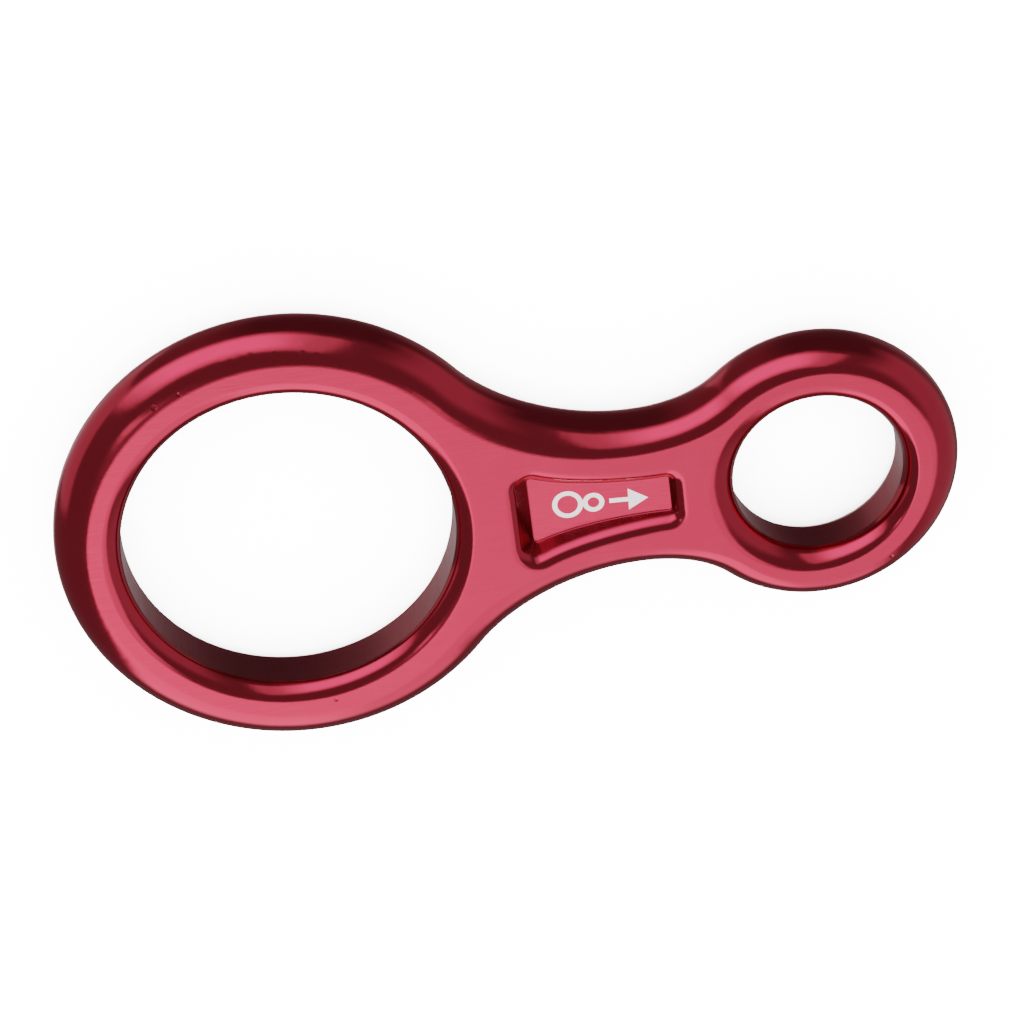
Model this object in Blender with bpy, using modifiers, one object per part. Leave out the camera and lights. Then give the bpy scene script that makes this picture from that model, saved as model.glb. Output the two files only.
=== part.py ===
"""Figure-of-eight rope descender: one aluminium forging, bored through both rings.

The part lies flat. +X runs from the large ring to the small ring, +Z is the normal of its faces, and
the origin is under the middle of its length, on the plane of the lower face.
"""
import math

import bmesh
import bpy
from mathutils import Matrix, Vector

# Driving dimensions, in metres
BORE_SPACING = 0.0702          # between the axes of the two bores
LARGE_BORE_RADIUS = 0.0219     # the rope's bore
SMALL_BORE_RADIUS = 0.0114     # the connector's bore
LARGE_RING_RADIUS = 0.0311     # outside of the large ring
SMALL_RING_RADIUS = 0.0192     # outside of the small ring
LARGE_RING_SHIFT = 0.0005      # the large ring's outside stands this far towards the neck from its bore
THICKNESS = 0.0095             # between the two ground faces
EDGE_ROUND = 0.0045            # radius of the outer edge, all the way round

# The neck leaves each ring along its tangent, at an angle from the long axis, with a Bezier pull
NECK_LARGE_ANGLE = math.radians(41.0)
NECK_SMALL_ANGLE = math.radians(48.5)
NECK_LARGE_PULL = 0.0119
NECK_SMALL_PULL = 0.0106

# Rounded lips of the bores, each a quarter ellipse whose top is ground off with the face
LARGE_LIP_ACROSS = 0.0027
LARGE_LIP_DOWN = 0.0019
SMALL_LIP_ACROSS = 0.0028
SMALL_LIP_DOWN = 0.0023
FACE_GRIND = 0.00003

# Recessed panel in the neck, on both faces
PANEL_START = -0.0007          # x of its end next to the large ring
PANEL_END = 0.0229
PANEL_HALF_LARGE = 0.0095      # half width at each end, where the sides would meet it without rounds
PANEL_HALF_SMALL = 0.0048
PANEL_SIDE_SLOPE = -0.42       # of its long side, where it starts next to the large ring
PANEL_SIDE_PULL = 0.29         # of the long side's length between its corners
PANEL_REACH_LARGE = 0.0052     # how far the corner rounds reach from each corner
PANEL_REACH_SMALL = 0.0026
PANEL_TURN = math.radians(2.1)  # off the long axis
PANEL_DRAFT = 0.0020           # the sloped wall goes this far in and this far down
PANEL_DEPTH = 0.0024

# How finely the curves are divided
RING_ARCS = 4
OUTLINE_STEPS = 10
EDGE_STEPS = 3
PANEL_STEPS = 5
LIP_STEPS = 4
LARGE_BORE_STEPS = 72
SMALL_BORE_STEPS = 56
CUTTER_OVERRUN = 0.002

# Worked out from the above
HALF_LENGTH = (LARGE_RING_RADIUS - LARGE_RING_SHIFT + BORE_SPACING + SMALL_RING_RADIUS) / 2
LARGE_BORE_X = LARGE_RING_RADIUS - LARGE_RING_SHIFT - HALF_LENGTH
SMALL_BORE_X = LARGE_BORE_X + BORE_SPACING

ANODISED_RED = (0.55, 0.035, 0.065, 1.0)
METAL_ROUGHNESS = 0.25


def clear_scene():
    for item in list(bpy.data.objects):
        bpy.data.objects.remove(item, do_unlink=True)


def make_collection(name):
    collection = bpy.data.collections.new(name)
    bpy.context.scene.collection.children.link(collection)
    return collection


def anodised_metal():
    material = bpy.data.materials.new("anodised_aluminium")
    material.use_nodes = True
    shader = material.node_tree.nodes["Principled BSDF"]
    shader.inputs["Base Color"].default_value = ANODISED_RED
    shader.inputs["Metallic"].default_value = 1.0
    shader.inputs["Roughness"].default_value = METAL_ROUGHNESS
    return material


def knot(x, y, run_x, run_y, before, after):
    """A Bezier knot at (x, y) heading along the unit vector (run_x, run_y)."""
    return ((x - run_x * before, y - run_y * before), (x, y), (x + run_x * after, y + run_y * after))


def ring_knots(center_x, radius, start, end, neck_pull):
    """Knots of a ring's outside, counter-clockwise, whose end handles lead into the neck."""
    turn = (end - start) / RING_ARCS
    arc_pull = 4 / 3 * math.tan(turn / 4) * radius
    knots = []
    for index in range(RING_ARCS + 1):
        angle = start + turn * index
        run_x = -math.sin(angle)
        run_y = math.cos(angle)
        before = neck_pull if index == 0 else arc_pull
        after = neck_pull if index == RING_ARCS else arc_pull
        knots.append(knot(center_x + radius * run_y, -radius * run_x, run_x, run_y, before, after))
    return knots


def body_knots():
    large = ring_knots(LARGE_BORE_X + LARGE_RING_SHIFT, LARGE_RING_RADIUS,
                       NECK_LARGE_ANGLE, 2 * math.pi - NECK_LARGE_ANGLE, NECK_LARGE_PULL)
    small = ring_knots(SMALL_BORE_X, SMALL_RING_RADIUS,
                       NECK_SMALL_ANGLE - math.pi, math.pi - NECK_SMALL_ANGLE, NECK_SMALL_PULL)
    return large + small


def corner_knots(corner, arriving, leaving, reach, before, after):
    """Two knots that round a corner, reach away from it on either side."""
    turn = arriving.angle(leaving)
    pull = 4 / 3 * math.tan(turn / 4) / math.tan(turn / 2) * reach
    return [knot(*(corner - arriving * reach), *arriving, before, pull),
            knot(*(corner + leaving * reach), *leaving, pull, after)]


def panel_knots():
    """Knots of the panel's edge at the face: two straight ends, two long sides that curve in."""
    side_pull = (PANEL_END - PANEL_START - PANEL_REACH_LARGE - PANEL_REACH_SMALL) * PANEL_SIDE_PULL
    side = Vector((-1, -PANEL_SIDE_SLOPE)).normalized()
    upper = corner_knots(Vector((PANEL_END, PANEL_HALF_SMALL)), Vector((0, 1)), Vector((-1, 0)),
                         PANEL_REACH_SMALL, PANEL_REACH_SMALL / 3, side_pull)
    upper += corner_knots(Vector((PANEL_START, PANEL_HALF_LARGE)), side, Vector((0, -1)),
                          PANEL_REACH_LARGE, side_pull, PANEL_REACH_LARGE / 3)
    lower = [tuple((x, -y) for x, y in reversed(points)) for points in reversed(upper)]
    turn = Matrix.Rotation(PANEL_TURN, 2)
    pivot = Vector((PANEL_END, 0))
    return [tuple(pivot + turn @ (Vector(point) - pivot) for point in points) for points in upper + lower]


def rounded_slab(name, knots, collection, height, edge, edge_steps, outline_steps):
    """A closed slab with its middle at the object's origin, and both rims rounded or chamfered."""
    curve = bpy.data.curves.new(name, "CURVE")
    curve.dimensions = "2D"
    curve.fill_mode = "BOTH"
    curve.resolution_u = outline_steps
    curve.extrude = height / 2 - edge
    curve.bevel_depth = edge
    curve.bevel_resolution = edge_steps
    curve.offset = -edge
    spline = curve.splines.new("BEZIER")
    spline.bezier_points.add(len(knots) - 1)
    spline.use_cyclic_u = True
    for point, (before, middle, after) in zip(spline.bezier_points, knots):
        point.handle_left_type = "FREE"
        point.handle_right_type = "FREE"
        point.co = (*middle, 0)
        point.handle_left = (*before, 0)
        point.handle_right = (*after, 0)
    drawn = bpy.data.objects.new(name + "_outline", curve)
    collection.objects.link(drawn)
    bpy.context.view_layer.update()
    mesh = bpy.data.meshes.new_from_object(drawn.evaluated_get(bpy.context.evaluated_depsgraph_get()))
    bpy.data.objects.remove(drawn, do_unlink=True)
    shape = bmesh.new()
    shape.from_mesh(mesh)
    bmesh.ops.remove_doubles(shape, verts=shape.verts, dist=0.000001)
    bmesh.ops.recalc_face_normals(shape, faces=shape.faces)
    shape.to_mesh(mesh)
    shape.free()
    mesh.name = name
    slab = bpy.data.objects.new(name, mesh)
    collection.objects.link(slab)
    return slab


def bore_cutter(name, center_x, radius, lip_across, lip_down, steps, collection):
    """A turned cutter for a bore with its two rounded lips."""
    lip = []
    for step in range(LIP_STEPS + 1):
        angle = math.pi / 2 * (1 - step / LIP_STEPS)
        lip.append((radius + lip_across * (1 - math.cos(angle)),
                    THICKNESS + FACE_GRIND - lip_down * (1 - math.sin(angle))))
    wide = radius + lip_across
    half = [(0.0, THICKNESS + CUTTER_OVERRUN), (wide, THICKNESS + CUTTER_OVERRUN), *lip]
    profile = half + [(across, THICKNESS - height) for across, height in reversed(half)]
    mesh = bpy.data.meshes.new(name)
    edges = [(index, index + 1) for index in range(len(profile) - 1)]
    mesh.from_pydata([(across, 0, height) for across, height in profile], edges, [])
    cutter = bpy.data.objects.new(name, mesh)
    cutter.location = (center_x, 0, 0)
    collection.objects.link(cutter)
    turn = cutter.modifiers.new("turn", "SCREW")
    turn.steps = steps
    turn.render_steps = steps
    turn.use_merge_vertices = True
    turn.merge_threshold = 0.00001
    return cutter


def hide_cutter(cutter):
    cutter.hide_render = True
    cutter.display_type = "WIRE"


def cut(solid, cutter):
    hide_cutter(cutter)
    boolean = solid.modifiers.new(cutter.name, "BOOLEAN")
    boolean.operation = "DIFFERENCE"
    boolean.object = cutter


def build():
    clear_scene()
    parts = make_collection("rope_descender")
    cutters = make_collection("cutters")

    body = rounded_slab("descender_body", body_knots(), parts, THICKNESS, EDGE_ROUND, EDGE_STEPS,
                        OUTLINE_STEPS)
    body.location = (0, 0, THICKNESS / 2)

    cut(body, bore_cutter("large_bore", LARGE_BORE_X, LARGE_BORE_RADIUS, LARGE_LIP_ACROSS,
                          LARGE_LIP_DOWN, LARGE_BORE_STEPS, cutters))
    cut(body, bore_cutter("small_bore", SMALL_BORE_X, SMALL_BORE_RADIUS, SMALL_LIP_ACROSS,
                          SMALL_LIP_DOWN, SMALL_BORE_STEPS, cutters))
    for name, height in (("upper_panel", THICKNESS), ("lower_panel", 0)):
        panel = rounded_slab(name, panel_knots(), cutters, 2 * PANEL_DEPTH, PANEL_DRAFT, 0, PANEL_STEPS)
        panel.location = (0, 0, height)
        cut(body, panel)

    body.data.materials.append(anodised_metal())
    body.data.shade_smooth()
    body.data.set_sharp_from_angle(angle=math.radians(30))


build()
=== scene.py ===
"""Looks of a forged figure-of-eight rope descender, laid out as an add-on and run as a script."""
import math

import bmesh
import bpy
from mathutils import Matrix, Quaternion, Vector


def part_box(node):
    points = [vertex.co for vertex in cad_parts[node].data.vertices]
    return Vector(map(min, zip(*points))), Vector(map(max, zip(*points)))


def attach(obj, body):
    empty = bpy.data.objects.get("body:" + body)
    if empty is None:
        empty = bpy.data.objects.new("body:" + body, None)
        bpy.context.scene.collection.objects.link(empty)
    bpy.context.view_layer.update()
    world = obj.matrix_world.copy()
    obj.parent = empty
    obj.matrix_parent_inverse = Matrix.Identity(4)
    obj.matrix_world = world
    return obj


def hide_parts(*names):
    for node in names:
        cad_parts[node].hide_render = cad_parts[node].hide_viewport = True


bl_info = {
    "name": "Rope Descender Looks",
    "version": (1, 0, 0),
    "blender": (4, 5, 0),
    "location": "3D View > Sidebar > Descender",
    "description": "Models and finishes a forged rope descender around its CAD frame",
    "category": "Object",
}

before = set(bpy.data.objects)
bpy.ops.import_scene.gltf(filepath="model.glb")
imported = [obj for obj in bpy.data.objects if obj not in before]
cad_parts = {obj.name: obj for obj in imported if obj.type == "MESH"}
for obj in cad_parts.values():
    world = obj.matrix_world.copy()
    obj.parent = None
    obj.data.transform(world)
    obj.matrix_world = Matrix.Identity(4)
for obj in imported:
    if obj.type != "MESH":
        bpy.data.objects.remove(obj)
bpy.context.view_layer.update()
BODY_NODE = "descender_body"
BODY_LOW, BODY_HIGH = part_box(BODY_NODE)
LENGTH = BODY_HIGH.x - BODY_LOW.x
WIDTH = BODY_HIGH.y - BODY_LOW.y
THICKNESS = BODY_HIGH.z - BODY_LOW.z

# The rings' places follow from the box, the two ring radii and the bores' spacing
BORE_SPACING = 0.0702
SMALL_RING_RADIUS = 0.0192
SMALL_BORE_X = BODY_HIGH.x - SMALL_RING_RADIUS
LARGE_BORE_X = SMALL_BORE_X - BORE_SPACING
LARGE_RING_RADIUS = WIDTH / 2
LARGE_RING_X = BODY_LOW.x + LARGE_RING_RADIUS


# ---------------------------------------------------------------- settings

class DescenderForging(bpy.types.PropertyGroup):
    """Sizes of the forging that its CAD box doesn't give."""
    large_bore: bpy.props.FloatProperty(
        name="Large bore radius", description="Radius of the rope's bore",
        default=0.0219, unit="LENGTH")
    small_bore: bpy.props.FloatProperty(
        name="Small bore radius", description="Radius of the connector's bore",
        default=0.0114, unit="LENGTH")
    edge_across: bpy.props.FloatVectorProperty(
        name="Edge round across",
        description="How far in the edge round starts: large ring, beside the small ring, its end",
        size=3, default=(0.0052, 0.0039, 0.0048), unit="LENGTH")
    neck_large_angle: bpy.props.FloatProperty(
        name="Neck angle, large ring", description="Where the neck leaves the large ring",
        default=math.radians(41.0), subtype="ANGLE")
    neck_small_angle: bpy.props.FloatProperty(
        name="Neck angle, small ring", description="Where the neck leaves the small ring",
        default=math.radians(48.5), subtype="ANGLE")
    neck_large_pull: bpy.props.FloatProperty(
        name="Neck pull, large ring",
        description="How long the neck keeps the large ring's direction",
        default=0.0119, unit="LENGTH")
    neck_small_pull: bpy.props.FloatProperty(
        name="Neck pull, small ring",
        description="How long the neck keeps the small ring's direction",
        default=0.0106, unit="LENGTH")
    large_lip: bpy.props.FloatVectorProperty(
        name="Large bore lip", description="Across the face and down the bore",
        size=2, default=(0.0028, 0.0026), unit="LENGTH")
    small_lip: bpy.props.FloatVectorProperty(
        name="Small bore lip", description="Across the face and down the bore",
        size=2, default=(0.0031, 0.0033), unit="LENGTH")
    lip_lean: bpy.props.FloatVectorProperty(
        name="Lip lean",
        description="Share by which each bore's lip is wider on its -X side and narrower opposite",
        size=2, default=(0.04, 0.34))
    panel_span: bpy.props.FloatVectorProperty(
        name="Panel ends", description="Where the recessed panel starts and ends along the neck",
        size=2, default=(-0.0007, 0.0229), unit="LENGTH")
    panel_half: bpy.props.FloatVectorProperty(
        name="Panel half widths",
        description="At its end next to the large ring, and at the other",
        size=2, default=(0.0095, 0.0048), unit="LENGTH")
    panel_slope: bpy.props.FloatProperty(
        name="Panel side slope", description="Slope of the long side where it starts",
        default=-0.42)
    panel_turn: bpy.props.FloatProperty(
        name="Panel turn", description="How far the panel is turned off the long axis",
        default=math.radians(2.1), subtype="ANGLE")
    panel_corner: bpy.props.FloatVectorProperty(
        name="Panel corners", description="Reach of the corner rounds at each end",
        size=2, default=(0.0052, 0.0026), unit="LENGTH")
    panel_depth: bpy.props.FloatVectorProperty(
        name="Panel depth", description="At its end next to the large ring, and at the other",
        size=2, default=(0.0032, 0.0016), unit="LENGTH")
    panel_gentle: bpy.props.FloatProperty(
        name="Panel wall angle, gentle",
        description="Of its walls at the large ring and on the +Y side",
        default=math.radians(54), subtype="ANGLE")
    panel_steep: bpy.props.FloatProperty(
        name="Panel wall angle, steep", description="Of its other two walls",
        default=math.radians(65), subtype="ANGLE")


class DescenderFinish(bpy.types.PropertyGroup):
    """Colours and gloss of the anodised metal and of the etched mark, and the painted shade of the
    recessed panel.
    """
    dye: bpy.props.FloatVectorProperty(
        name="Dye", description="Colour of the anodised metal",
        subtype="COLOR", default=(0.62, 0.046, 0.071))
    worn: bpy.props.FloatVectorProperty(
        name="Worn dye", description="Colour of the rims, where the dye is thin",
        subtype="COLOR", default=(0.74, 0.16, 0.20))
    # Painted shade: a darker colour for the recessed panel's walls and part of its floor, in place
    # of the shade that falls in the recess
    painted_recess_shade: bpy.props.FloatVectorProperty(
        name="Painted recess shade", description="Colour of the panel's walls, where the dye is thick",
        subtype="COLOR", default=(0.38, 0.03, 0.045))
    machined: bpy.props.FloatVectorProperty(
        name="Machined dye", description="Colour of the bores' walls",
        subtype="COLOR", default=(0.34, 0.050, 0.060))
    mark: bpy.props.FloatVectorProperty(
        name="Mark", description="Colour of the bare metal of the mark",
        subtype="COLOR", default=(0.97, 0.92, 0.92))
    polish: bpy.props.FloatProperty(
        name="Polish", description="Roughness of the tumbled rounds",
        default=0.12, subtype="FACTOR")
    linish: bpy.props.FloatProperty(
        name="Linish", description="Roughness of the ground faces",
        default=0.23, subtype="FACTOR")
    bored: bpy.props.FloatProperty(
        name="Bored", description="Roughness of the machined bores",
        default=0.38, subtype="FACTOR")
    etched: bpy.props.FloatProperty(
        name="Etched", description="Roughness of the mark",
        default=0.34, subtype="FACTOR")
    peel: bpy.props.FloatProperty(
        name="Peel", description="Height of the slow waves in the tumbled rounds",
        default=0.000010, unit="LENGTH", precision=6)
    scratch: bpy.props.FloatProperty(
        name="Scratch", description="Depth of the linishing and machining lines",
        default=0.000008, unit="LENGTH", precision=6)
    nick: bpy.props.FloatProperty(
        name="Nick", description="Depth of the small dents from knocks",
        default=0.00006, unit="LENGTH", precision=6)
    mark_middle: bpy.props.FloatVectorProperty(
        name="Mark middle", description="Where the mark is on the upper face",
        size=2, default=(0.0118, -0.0004), unit="LENGTH")


class DescenderStudio(bpy.types.PropertyGroup):
    """Floor, lights and camera."""
    floor: bpy.props.FloatVectorProperty(
        name="Floor", description="Colour of the floor",
        subtype="COLOR", default=(0.93, 0.93, 0.93))
    room: bpy.props.FloatProperty(
        name="Room", description="Brightness of the dim room around the object",
        default=0.135)
    near_hue: bpy.props.FloatVectorProperty(
        name="Near softbox hue", description="Colour of the softbox on the camera's side",
        subtype="COLOR", default=(1.0, 0.85, 1.0))
    ceiling: bpy.props.FloatProperty(
        name="Ceiling light", description="Strength of the light on the floor",
        default=40.0, unit="POWER")
    ceiling_spread: bpy.props.FloatProperty(
        name="Ceiling spread", description="How wide the ceiling looks from the floor",
        default=math.radians(130), subtype="ANGLE")
    target: bpy.props.FloatVectorProperty(
        name="Target", description="The point that the camera looks at",
        size=3, default=(0.00015, -0.0017, 0.00476), subtype="TRANSLATION")
    distance: bpy.props.FloatProperty(
        name="Camera distance", description="From the camera to its target",
        default=0.41742, unit="LENGTH")
    azimuth: bpy.props.FloatProperty(
        name="Camera azimuth", description="From +Y towards +X",
        default=math.radians(-6.472), subtype="ANGLE")
    elevation: bpy.props.FloatProperty(
        name="Camera elevation", description="Above the floor",
        default=math.radians(58.802), subtype="ANGLE")
    roll: bpy.props.FloatProperty(
        name="Camera roll", description="Turn of the camera about its own axis",
        default=math.radians(167.2), subtype="ANGLE")
    lens: bpy.props.FloatProperty(
        name="Lens", description="Focal length on the full-frame sensor",
        default=111.03, unit="CAMERA")


# ---------------------------------------------------------------- outlines

RING_ARCS = 4
PANEL_SIDE_PULL = 0.29   # of the long side's length between its corners


def knot(place, run, before, after):
    """A Bezier knot heading along the unit vector run."""
    return place - run * before, place, place + run * after


def ring_knots(center_x, radius, start, end, neck_pull):
    """Knots of a ring's outside, counter-clockwise, whose end handles lead into the neck."""
    turn = (end - start) / RING_ARCS
    arc_pull = 4 / 3 * math.tan(turn / 4) * radius
    knots = []
    for index in range(RING_ARCS + 1):
        angle = start + turn * index
        out = Vector((math.cos(angle), math.sin(angle)))
        before = neck_pull if index == 0 else arc_pull
        after = neck_pull if index == RING_ARCS else arc_pull
        knots.append(knot(Vector((center_x, 0)) + out * radius, out.orthogonal(), before, after))
    return knots


def outline_knots(forging):
    large = ring_knots(LARGE_RING_X, LARGE_RING_RADIUS, forging.neck_large_angle,
                       2 * math.pi - forging.neck_large_angle, forging.neck_large_pull)
    small = ring_knots(SMALL_BORE_X, SMALL_RING_RADIUS, forging.neck_small_angle - math.pi,
                       math.pi - forging.neck_small_angle, forging.neck_small_pull)
    return large + small


def corner_knots(corner, arriving, leaving, reach, before, after):
    """Two knots that round a corner, reach away from it on either side."""
    turn = arriving.angle(leaving)
    pull = 4 / 3 * math.tan(turn / 4) / math.tan(turn / 2) * reach
    return [knot(corner - arriving * reach, arriving, before, pull),
            knot(corner + leaving * reach, leaving, pull, after)]


def panel_knots(forging):
    """Knots of the panel's edge at the face: two straight ends, two long sides that curve in."""
    start, end = forging.panel_span
    half_large, half_small = forging.panel_half
    reach_large, reach_small = forging.panel_corner
    side_pull = (end - start - reach_large - reach_small) * PANEL_SIDE_PULL
    side = Vector((-1, -forging.panel_slope)).normalized()
    upper = corner_knots(Vector((end, half_small)), Vector((0, 1)), Vector((-1, 0)),
                         reach_small, reach_small / 3, side_pull)
    upper += corner_knots(Vector((start, half_large)), side, Vector((0, -1)),
                          reach_large, side_pull, reach_large / 3)
    mirror = Vector((1, -1))
    lower = [tuple(point * mirror for point in reversed(points)) for points in reversed(upper)]
    turn = Matrix.Rotation(forging.panel_turn, 2)
    pivot = Vector((end, 0))
    return [tuple(pivot + turn @ (point - pivot) for point in points) for points in upper + lower]


def bezier_stations(knots, steps):
    """Places along a closed counter-clockwise Bezier loop, each with its inward unit normal."""
    stations = []
    for this, following in zip(knots, knots[1:] + knots[:1]):
        a, b, c, d = this[1], this[2], following[0], following[1]
        for step in range(steps):
            t = step / steps
            s = 1 - t
            place = s ** 3 * a + 3 * s * s * t * b + 3 * s * t * t * c + t ** 3 * d
            run = s * s * (b - a) + 2 * s * t * (c - b) + t * t * (d - c)
            stations.append((place, run.orthogonal().normalized()))
    return stations


def ring_stations(center_x, radius, steps):
    """Places round a circle, counter-clockwise, each with its outward unit normal."""
    stations = []
    for step in range(steps):
        angle = 2 * math.pi * step / steps
        into = Vector((math.cos(angle), math.sin(angle)))
        stations.append((Vector((center_x, 0)) + into * radius, into))
    return stations


# ---------------------------------------------------------------- section profiles
# A profile lists (distance along the stations' normals, height), from the upper face down.

EDGE_DOWN = 0.0045       # height of the edge round on each side of the parting line
FACE_GRIND = 0.00003     # ground off each face of the forging, which leaves a faint edge
GUARD = 0.00015          # flat strip that keeps a face's shading flat up to its edge
LIP_TURN = math.radians(72)   # how far the lip turns down before the machined bore cuts it
RIM_BREAK = 0.00006      # width of the broken edge between lip and bore
PANEL_LIP = 0.00166      # radius of the rounded lip
PANEL_LIP_LEAN = 0.35    # how much larger that radius is on the -Y side
PANEL_FILLET = 0.0003    # radius between wall and floor


def both_faces(upper):
    return upper + [(along, THICKNESS - height) for along, height in reversed(upper)]


def edge_profile(forging, place, into, steps):
    """The outer edge at a station: an elliptical round, narrower along the small ring's sides."""
    at_large, beside_small, at_end = forging.edge_across
    at_small = beside_small + (at_end - beside_small) * max(-into.x, 0) ** 2
    start, end = forging.panel_span
    along_neck = min(max((place.x - start) / (end - start), 0), 1)
    across = at_large + (at_small - at_large) * along_neck ** 2 * (3 - 2 * along_neck)
    down = EDGE_DOWN + FACE_GRIND
    first = math.acos(EDGE_DOWN / down)
    upper = []
    for step in range(steps + 1):
        angle = first + (math.pi / 2 - first) * step / steps
        upper.append((across * (1 - math.sin(angle)),
                      THICKNESS - EDGE_DOWN + down * math.cos(angle)))
    upper.insert(0, (upper[0][0] + GUARD, THICKNESS))
    return both_faces(upper)


def bore_profile(lip, lean, into, steps):
    """A bore at a station: a rounded lip, a machined wall with crisp rims, the same lip below."""
    across, down = lip
    across *= 1 - lean * into.x
    first = math.acos(1 - FACE_GRIND / down)
    upper = []
    for step in range(steps + 1):
        angle = first + (LIP_TURN - first) * step / steps
        upper.append((RIM_BREAK / 2 + across * (math.sin(LIP_TURN) - math.sin(angle)),
                      THICKNESS + FACE_GRIND - down * (1 - math.cos(angle))))
    upper.insert(0, (upper[0][0] + GUARD, THICKNESS))
    rim = upper[-1][1]
    upper += [(0, rim - RIM_BREAK), (0, rim - RIM_BREAK - GUARD)]
    return both_faces(upper)


def panel_profile(forging, place, into, steps):
    """A panel at a station: a rounded lip, a sloped wall, a fillet and the floor's edge."""
    steepness = (forging.panel_gentle + (forging.panel_steep - forging.panel_gentle)
                 * (max(-into.x, 0) ** 2 + max(into.y, 0) ** 2))
    lip = PANEL_LIP * (1 + PANEL_LIP_LEAN * max(into.y, 0))
    start, end = forging.panel_span
    deep, shallow = forging.panel_depth
    rise = (deep - shallow) / (end - start)
    rounds = lip + PANEL_FILLET
    # The floor is one sloping plane, so the wall ends where it meets that plane
    level = deep - rise * (place.x + into.x * rounds * math.sin(steepness) - start)
    wall = ((level - rounds * (1 - math.cos(steepness)))
            / (math.sin(steepness) + rise * into.x * math.cos(steepness)))
    profile = [(-GUARD, THICKNESS)]
    for step in range(steps + 1):
        angle = steepness * step / steps
        profile.append((lip * math.sin(angle), THICKNESS - lip * (1 - math.cos(angle))))
    along, height = profile[-1]
    along += wall * math.cos(steepness) + PANEL_FILLET * math.sin(steepness)
    height -= wall * math.sin(steepness) + PANEL_FILLET * (1 - math.cos(steepness))
    for step in range(steps + 1):
        angle = steepness * (1 - step / steps)
        profile.append((along - PANEL_FILLET * math.sin(angle),
                        height + PANEL_FILLET * (1 - math.cos(angle))))
    profile.append((along + GUARD, height + rise * into.x * GUARD))
    return profile


# ---------------------------------------------------------------- mesh

OUTLINE_STEPS = 36
LARGE_BORE_STEPS = 288
SMALL_BORE_STEPS = 200
PANEL_STEPS = 14
EDGE_STEPS = 22
LIP_STEPS = 14
PANEL_ROUND_STEPS = 10


def sweep(shape, stations, profiles):
    """A closed band of quads, with one profile per station. Returns its two border loops."""
    columns = [[shape.verts.new((*(place + into * along), height)) for along, height in profile]
               for (place, into), profile in zip(stations, profiles)]
    for index, column in enumerate(columns):
        before = columns[index - 1]
        for row in range(len(column) - 1):
            shape.faces.new((before[row], column[row], column[row + 1], before[row + 1]))
    return [column[0] for column in columns], [column[-1] for column in columns]


def fill(shape, loops):
    """A flat face inside the first loop, with the other loops as holes."""
    edges = [shape.edges.get((loop[index - 1], loop[index])) for loop in loops
             for index in range(len(loop))]
    bmesh.ops.triangle_fill(shape, use_beauty=True, use_dissolve=False, edges=edges)


def shape_body(forging):
    """The whole forging as one closed mesh."""
    shape = bmesh.new()
    outline = bezier_stations(outline_knots(forging), OUTLINE_STEPS)
    panel = bezier_stations(panel_knots(forging), PANEL_STEPS)
    large = ring_stations(LARGE_BORE_X, forging.large_bore, LARGE_BORE_STEPS)
    small = ring_stations(SMALL_BORE_X, forging.small_bore, SMALL_BORE_STEPS)
    bands = [sweep(shape, outline, [edge_profile(forging, place, into, EDGE_STEPS)
                                    for place, into in outline])]
    for stations, lip, lean in ((large, forging.large_lip, forging.lip_lean[0]),
                                (small, forging.small_lip, forging.lip_lean[1])):
        bands.append(sweep(shape, stations, [bore_profile(lip, lean, into, LIP_STEPS)
                                             for place, into in stations]))
    recess = [panel_profile(forging, place, into, PANEL_ROUND_STEPS) for place, into in panel]
    mirrored = [[(along, THICKNESS - height) for along, height in profile] for profile in recess]
    upper_rim, upper_floor = sweep(shape, panel, recess)
    lower_rim, lower_floor = sweep(shape, panel, mirrored)
    fill(shape, [upper for upper, lower in bands] + [upper_rim])
    fill(shape, [lower for upper, lower in bands] + [lower_rim])
    fill(shape, [upper_floor])
    fill(shape, [lower_floor])
    bmesh.ops.recalc_face_normals(shape, faces=shape.faces)
    mesh = bpy.data.meshes.new("forged_body")
    shape.to_mesh(mesh)
    shape.free()
    mesh.shade_smooth()
    return mesh


# ---------------------------------------------------------------- shaders

class Value:
    """A shader socket that takes part in arithmetic: each operation adds one Math node."""

    def __init__(self, graph, socket):
        self.graph = graph
        self.socket = socket

    def math(self, operation, *others):
        sockets = dict(enumerate((self, *others)))
        return self.graph.node("ShaderNodeMath", {"operation": operation}, sockets)

    def __add__(self, other):
        return self.math("ADD", other)

    def __radd__(self, other):
        return self.math("ADD", other)

    def __sub__(self, other):
        return self.math("SUBTRACT", other)

    def __rsub__(self, other):
        return self.graph.node("ShaderNodeMath", {"operation": "SUBTRACT"}, {0: other, 1: self})

    def __mul__(self, other):
        return self.math("MULTIPLY", other)

    def __rmul__(self, other):
        return self.math("MULTIPLY", other)

    def __abs__(self):
        return self.math("ABSOLUTE")

    def at_least(self, other):
        return self.math("MAXIMUM", other)

    def ramp(self, low, high):
        """0 below low, 1 above high, and smooth between."""
        return self.graph.node("ShaderNodeMapRange", {"interpolation_type": "SMOOTHSTEP"},
                               {"Value": self, "From Min": low, "From Max": high})

    def over(self, limit, edge):
        """1 above the limit and 0 below it, softened by edge to either side."""
        return self.ramp(limit - edge, limit + edge)

    def under(self, limit, edge):
        """1 below the limit and 0 above it, softened by edge to either side."""
        return 1 - self.over(limit, edge)


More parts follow.
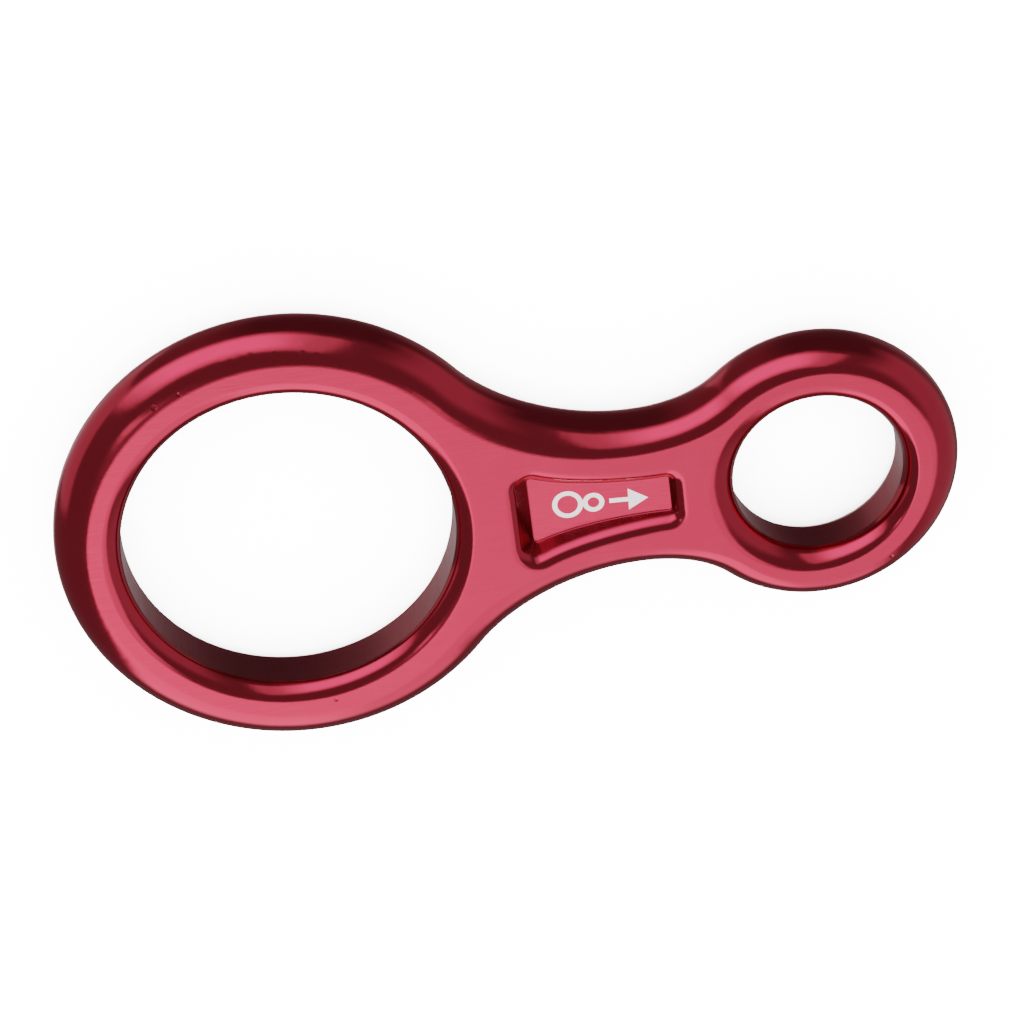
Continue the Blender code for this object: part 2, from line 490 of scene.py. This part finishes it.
class Graph:
    """The node tree of a material or a world, filled in from empty."""

    def __init__(self, owner):
        owner.use_nodes = True
        self.tree = owner.node_tree
        self.tree.nodes.clear()

    def node(self, kind, settings=None, sockets=None, output=0):
        """Adds a node, makes its settings, then fills its sockets with values or links."""
        made = self.tree.nodes.new(kind)
        for name, setting in (settings or {}).items():
            setattr(made, name, setting)
        for key, value in (sockets or {}).items():
            if isinstance(value, Value):
                self.tree.links.new(value.socket, made.inputs[key])
            else:
                made.inputs[key].default_value = value
        return Value(self, made.outputs[output]) if made.outputs else None

    def mix(self, factor, first, second):
        """Between two colours."""
        return self.node("ShaderNodeMix", {"data_type": "RGBA"},
                         {0: factor, 6: first, 7: second}, 2)

    def stretched(self, place, scale):
        return self.node("ShaderNodeVectorMath", {"operation": "MULTIPLY"}, {0: place, 1: scale})

    def along(self, place, direction):
        """How far place lies along a unit direction."""
        return self.node("ShaderNodeVectorMath", {"operation": "DOT_PRODUCT"},
                         {0: place, 1: direction}, "Value")

    def offset(self, place, point):
        return self.node("ShaderNodeVectorMath", {"operation": "SUBTRACT"}, {0: place, 1: point})

    def distance(self, place, point, counted=(1, 1, 1)):
        """From place to point, along the axes that are counted as 1."""
        return self.node("ShaderNodeVectorMath", {"operation": "LENGTH"},
                         {0: self.stretched(self.offset(place, point), counted)}, "Value")

    def noise(self, place, stretch, scale, detail, roughness):
        """Fractal noise between -0.5 and 0.5, with scale in features per metre."""
        texture = self.node("ShaderNodeTexNoise", {}, {
            "Vector": self.stretched(place, stretch), "Scale": scale, "Detail": detail,
            "Roughness": roughness})
        return texture - 0.5


# The etched mark, in metres from its middle along the panel
MARK_RINGS = ((-0.0044, 0.00170), (-0.0010, 0.00110))   # place and radius of each ring's stroke
MARK_STROKE = 0.00066
MARK_EDGE = 0.00003
MARK_ARROW = (0.0011, 0.0036, 0.0062)   # tail, start of the head, tip
MARK_HEAD = 0.0016                      # half width of the head


def etched_mark(graph, place, middle):
    """Where the mark is: a small descender and an arrow, drawn around its middle."""
    from_middle = graph.offset(place, (*middle, 0))
    along = graph.along(from_middle, (1, 0, 0))
    across = abs(graph.along(from_middle, (0, 1, 0)))
    figure = 0.0
    for center_x, radius in MARK_RINGS:
        center = (middle[0] + center_x, middle[1], 0)
        from_ring = abs(graph.distance(place, center, (1, 1, 0)) - radius)
        figure = from_ring.under(MARK_STROKE / 2, MARK_EDGE).at_least(figure)
    tail, neck, tip = MARK_ARROW
    shaft = (along.over(tail, MARK_EDGE) * (1 - along.ramp(neck, neck + MARK_EDGE))
             * across.under(MARK_STROKE / 2, MARK_EDGE))
    head_half = (tip - along) * (MARK_HEAD / (tip - neck))
    head = (head_half - across).over(0, MARK_EDGE) * along.over(neck, MARK_EDGE)
    return figure.at_least(shaft).at_least(head)


# Where one kind of surface gives way to the next: start and end of each soft change
FACE_TILT = (0.985, 0.999)       # upright part of the normal, from the rounds to the flat faces
FLOOR_TILT = (0.97, 0.99)        # the same, from the panel's walls to its sloping floor
FACE_DEPTH = (0.0001, 0.0002)    # under the face, from the ground face to everything else
RECESS_DEPTH = (0.0006, 0.0011)  # under the face, from the panel's lip to its walls
RECESS_SIDE = (0.0084, 0.0088)   # from the long axis, past the widest place of the panel
RECESS_END = 0.0001              # width of the change at the panel's two ends
WALL_OUT = (0.00002, 0.00005)    # out from a bore's radius, from its machined wall to its rim
RIM_OUT = (0.00005, 0.0003)      # the same, from its rim to its lip

# Noises of the metal: stretch along the axes, features per metre, detail and roughness
NOISES = {
    "linishing lines": ((0.05, 1, 1), 4200, 3.0, 0.6),
    "machining lines": ((1, 1, 0.06), 3600, 3.0, 0.6),
    "slow waves": ((1, 1, 1), 620, 1.0, 0.5),
    "clouds": ((1, 1, 1), 150, 3.0, 0.6),
    "grain": ((1, 1, 1), 5200, 2.0, 0.6),
}
LINES_TO_ROUGHNESS = 0.2
CLOUDS_TO_ROUGHNESS = 0.06
CLOUDS_TO_WEAR = 0.16
GRAIN_TO_WEAR = 0.1
FLOOR_LINISH = 0.8       # how far the panel's floor is linished, next to the ground faces
FLOOR_SHADE = 0.25        # how much of the painted shade of the recess is on the panel's floor
RECESS_ROUGHER = 0.12    # the panel's walls miss the tumbling media
WALL_COAT = 0.1          # the bores' machined walls keep a thin clear sealing
WALL_COAT_ROUGHNESS = 0.25

# Small dents from knocks near the upper face: x, y and radius
NICKS = (
    (-0.0347, 0.0290, 0.0014), (-0.0331, 0.0290, 0.0012), (-0.0312, 0.0287, 0.0009),
    (-0.0281, 0.0284, 0.0007), (-0.0246, 0.0281, 0.0007), (-0.0228, 0.0275, 0.0006),
    (-0.0441, 0.0229, 0.0005), (-0.0419, 0.0251, 0.0007), (-0.0407, 0.0244, 0.0004),
    (-0.0260, -0.0245, 0.0004), (0.0500, -0.0133, 0.0004),
)


def bore_zones(graph, forging, place):
    """How much a place belongs to a bore's machined wall, and to that wall or its rim."""
    wall = 0.0
    rim = 0.0
    for center_x, radius in ((LARGE_BORE_X, forging.large_bore),
                             (SMALL_BORE_X, forging.small_bore)):
        outward = graph.distance(place, (center_x, 0, 0), (1, 1, 0)) - radius
        wall = (1 - outward.ramp(*WALL_OUT)).at_least(wall)
        rim = (1 - outward.ramp(*RIM_OUT)).at_least(rim)
    return wall, rim


def face_zones(graph, forging, place, height):
    """How much a place belongs to a ground face, to a panel's floor and to a panel's walls."""
    upright = abs(graph.along(graph.node("ShaderNodeTexCoord", {}, {}, "Normal"), (0, 0, 1)))
    depth = THICKNESS / 2 - abs(height)
    face = upright.ramp(*FACE_TILT) * (1 - depth.ramp(*FACE_DEPTH))
    start, end = forging.panel_span
    half_length = (end - start) / 2
    from_middle = abs(graph.along(place, (1, 0, 0)) - (start + end) / 2)
    in_panel = ((1 - from_middle.ramp(half_length, half_length + RECESS_END))
                * (1 - abs(graph.along(place, (0, 1, 0))).ramp(*RECESS_SIDE))
                * depth.ramp(*RECESS_DEPTH))
    panel_floor = upright.ramp(*FLOOR_TILT) * in_panel
    return face, panel_floor, in_panel * (1 - panel_floor)


def anodised_metal(forging, finish):
    material = bpy.data.materials.new("anodised_aluminium")
    graph = Graph(material)
    place = graph.node("ShaderNodeTexCoord", {}, {}, "Object")
    height = graph.along(place, (0, 0, 1)) - THICKNESS / 2
    face, panel_floor, recess = face_zones(graph, forging, place, height)
    wall, rim = bore_zones(graph, forging, place)
    lined = face.at_least(panel_floor)
    tumbled = (1 - lined) * (1 - wall)
    lines, machining, waves, clouds, grain = (
        graph.noise(place, *settings) for settings in NOISES.values())

    mark = etched_mark(graph, place, finish.mark_middle) * panel_floor * height.ramp(0, 0.0001)
    roughness = (finish.polish
                 + (finish.linish - finish.polish) * (face + FLOOR_LINISH * panel_floor)
                 + (finish.bored - finish.polish) * wall + recess * RECESS_ROUGHER
                 + (lines * lined + machining * wall) * LINES_TO_ROUGHNESS
                 + clouds * CLOUDS_TO_ROUGHNESS)
    roughness = roughness + mark * (finish.etched - roughness)

    relief = (lines * lined + machining * wall) * finish.scratch + waves * tumbled * finish.peel
    for nick_x, nick_y, radius in NICKS:
        from_nick = graph.distance(place, (nick_x, nick_y, THICKNESS))
        relief = relief - (1 - from_nick.ramp(0, radius)) * finish.nick

    wear = (grain * GRAIN_TO_WEAR + clouds * CLOUDS_TO_WEAR).at_least(0)
    color = graph.mix(wear, (*finish.dye, 1.0), (*finish.worn, 1.0))
    # The first layer is painted shade: the recessed panel's walls, and partly its floor, take a
    # darker colour
    for amount, layer in ((recess + FLOOR_SHADE * panel_floor, finish.painted_recess_shade),
                          (rim, finish.machined), (mark, finish.mark)):
        color = graph.mix(amount, color, (*layer, 1.0))

    bump = graph.node("ShaderNodeBump", {}, {"Strength": 1.0, "Distance": 1.0, "Height": relief})
    shader = graph.node("ShaderNodeBsdfPrincipled", {}, {
        "Base Color": color, "Metallic": 1.0, "Roughness": roughness, "Normal": bump,
        "Coat Weight": wall * WALL_COAT, "Coat Roughness": WALL_COAT_ROUGHNESS})
    graph.node("ShaderNodeOutputMaterial", {}, {"Surface": shader})
    return material


def matt_paint(name, color):
    material = bpy.data.materials.new(name)
    graph = Graph(material)
    shader = graph.node("ShaderNodeBsdfPrincipled", {}, {
        "Base Color": (*color, 1.0), "Roughness": 0.9, "Specular IOR Level": 0.0})
    graph.node("ShaderNodeOutputMaterial", {}, {"Surface": shader})
    return material


# What the metal mirrors: soft-edged panels around it, each painted over those before it. For each,
# in degrees: azimuth of its middle (from +Y towards +X), half width, lowest and highest elevation,
# soft edge at the sides, soft edge below and above. Then the rise of both elevations per degree of
# azimuth, and the brightness.
REFLECTED_PANELS = {
    "pale table": (-160, 65, -90, -46, 60, 12, 0, 0.7),
    "dark side below": (25, 40, -70, 12, 15, 12, -0.05, 0.065),
    "right wall": (100, 47, -25, 46, 12, 12, 0, 0.35),
    "left wall, low": (-79, 24, -60, 6, 3, 5, -0.28, 0.47),
    "edge of the ceiling": (-150, 55, 60, 76, 10, 5, 0, 0.24),
    "far softbox, top": (150, 28, 44, 68, 8, 4, 0, 1.35),
    "gap between softboxes": (-104, 13, 62.5, 68.5, 2, 1.2, -0.3, 1.3),
    "far softbox": (-178, 26, 10, 66, 5, 9, 0, 1.55),
    "far softbox, brighter half": (-167, 16, 10, 66, 4, 10, 0, 2.5),
    "near softbox, edge": (-16, 46, 11, 58, 4, 4, 0.2, 0.7),
    "near softbox": (-22, 30, 5, 50, 13, 10, 0.2, 2.3),
}


def paint_room(world, room, near_hue):
    """A studio seen in reflections: panels over a dim room, the last panel with a hue."""
    graph = Graph(world)
    direction = graph.node("ShaderNodeTexCoord", {}, {}, "Generated")
    elevation = graph.along(direction, (0, 0, 1)).math("ARCSINE")
    glow = room
    for *angles, rise, brightness in REFLECTED_PANELS.values():
        azimuth, half_width, low, high, side_edge, level_edge = map(math.radians, angles)
        ahead = graph.along(direction, (math.sin(azimuth), math.cos(azimuth), 0))
        across = graph.along(direction, (math.cos(azimuth), -math.sin(azimuth), 0))
        sideways = across.math("ARCTAN2", ahead)
        level = elevation - sideways * rise
        mask = (abs(sideways).under(half_width, side_edge)
                * level.over(low, level_edge) * level.under(high, level_edge))
        glow = glow + mask * (brightness - glow)
    hue = graph.mix(mask, (1, 1, 1, 1), (*near_hue, 1))
    background = graph.node("ShaderNodeBackground", {}, {"Color": hue, "Strength": glow})
    graph.node("ShaderNodeOutputWorld", {}, {"Surface": background})


# ---------------------------------------------------------------- operators

def added(name, data):
    """A new object in the scene."""
    made = bpy.data.objects.new(name, data)
    bpy.context.scene.collection.objects.link(made)
    return made


class DESCENDER_OT_body(bpy.types.Operator):
    """Model and finish the forged body"""
    bl_idname = "descender.body"
    bl_label = "Forged body"

    def execute(self, context):
        forging = context.scene.descender_forging
        body = added("forged_body", shape_body(forging))
        body.data.materials.append(anodised_metal(forging, context.scene.descender_finish))
        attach(body, "root")
        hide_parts(BODY_NODE)
        return {"FINISHED"}


SENSOR_WIDTH = 36        # of a full-frame camera, in millimetres
FLOOR_RADIUS = 1.0
FLOOR_RISE = 1.5         # the floor curves up into a round backdrop of this height
FLOOR_CURVE = 0.6
FLOOR_GAP = 0.0002       # keeps the lower face just clear of the floor
FLOOR_STEPS = 96
CURVE_STEPS = 16


def shape_floor():
    """A flat round floor whose rim curves up into a backdrop."""
    shape = bmesh.new()
    profile = [(FLOOR_CURVE, FLOOR_RISE)]
    for step in range(CURVE_STEPS + 1):
        angle = math.pi / 2 * step / CURVE_STEPS
        profile.append((FLOOR_CURVE * math.cos(angle), FLOOR_CURVE * (1 - math.sin(angle))))
    profile.append((-FLOOR_RADIUS, 0))
    sweep(shape, ring_stations(0, FLOOR_RADIUS, FLOOR_STEPS), [profile] * FLOOR_STEPS)
    bmesh.ops.remove_doubles(shape, verts=shape.verts, dist=0.001)
    mesh = bpy.data.meshes.new("studio_floor")
    shape.to_mesh(mesh)
    shape.free()
    mesh.shade_smooth()
    return mesh


def place_camera(studio):
    lens = bpy.data.cameras.new("product_camera")
    lens.sensor_width = SENSOR_WIDTH
    lens.lens = studio.lens
    camera = added("product_camera", lens)
    toward = Vector((math.sin(studio.azimuth) * math.cos(studio.elevation),
                     math.cos(studio.azimuth) * math.cos(studio.elevation),
                     math.sin(studio.elevation)))
    camera.location = Vector(studio.target) + toward * studio.distance
    level = toward.to_track_quat("Z", "Y")
    camera.rotation_euler = (level @ Quaternion((0, 0, 1), studio.roll)).to_euler()
    return camera


class DESCENDER_OT_stage(bpy.types.Operator):
    """Set up the floor, the lights and the camera"""
    bl_idname = "descender.stage"
    bl_label = "Studio"

    def execute(self, context):
        scene = context.scene
        studio = scene.descender_studio

        floor = added("studio_floor", shape_floor())
        floor.location.z = BODY_LOW.z - FLOOR_GAP
        floor.visible_glossy = False
        floor.visible_shadow = False
        floor.data.materials.append(matt_paint("floor_paint", studio.floor))

        # The ceiling lights the floor only: the metal mirrors the painted panels instead
        light = bpy.data.lights.new("ceiling_light", "SUN")
        light.energy = studio.ceiling
        light.angle = studio.ceiling_spread
        added("ceiling_light", light).visible_glossy = False

        scene.world = bpy.data.worlds.new("studio_room")
        paint_room(scene.world, studio.room, studio.near_hue)
        scene.view_settings.view_transform = "Filmic"
        scene.camera = place_camera(studio)
        return {"FINISHED"}


class DESCENDER_PT_panel(bpy.types.Panel):
    """The descender's steps, in the order in which they are made"""
    bl_idname = "DESCENDER_PT_panel"
    bl_label = "Rope descender"
    bl_space_type = "VIEW_3D"
    bl_region_type = "UI"
    bl_category = "Descender"

    def draw(self, context):
        for step in STEPS:
            self.layout.operator(step.bl_idname)


STEPS = (DESCENDER_OT_body, DESCENDER_OT_stage)
SETTINGS = {
    "descender_forging": DescenderForging,
    "descender_finish": DescenderFinish,
    "descender_studio": DescenderStudio,
}
CLASSES = (*SETTINGS.values(), *STEPS, DESCENDER_PT_panel)


def register():
    for item in CLASSES:
        bpy.utils.register_class(item)
    for name, settings in SETTINGS.items():
        setattr(bpy.types.Scene, name, bpy.props.PointerProperty(type=settings))


def unregister():
    for name in SETTINGS:
        delattr(bpy.types.Scene, name)
    for item in reversed(CLASSES):
        bpy.utils.unregister_class(item)


def main():
    register()
    bpy.ops.descender.body()
    bpy.ops.descender.stage()


if __name__ == "__main__":
    main()
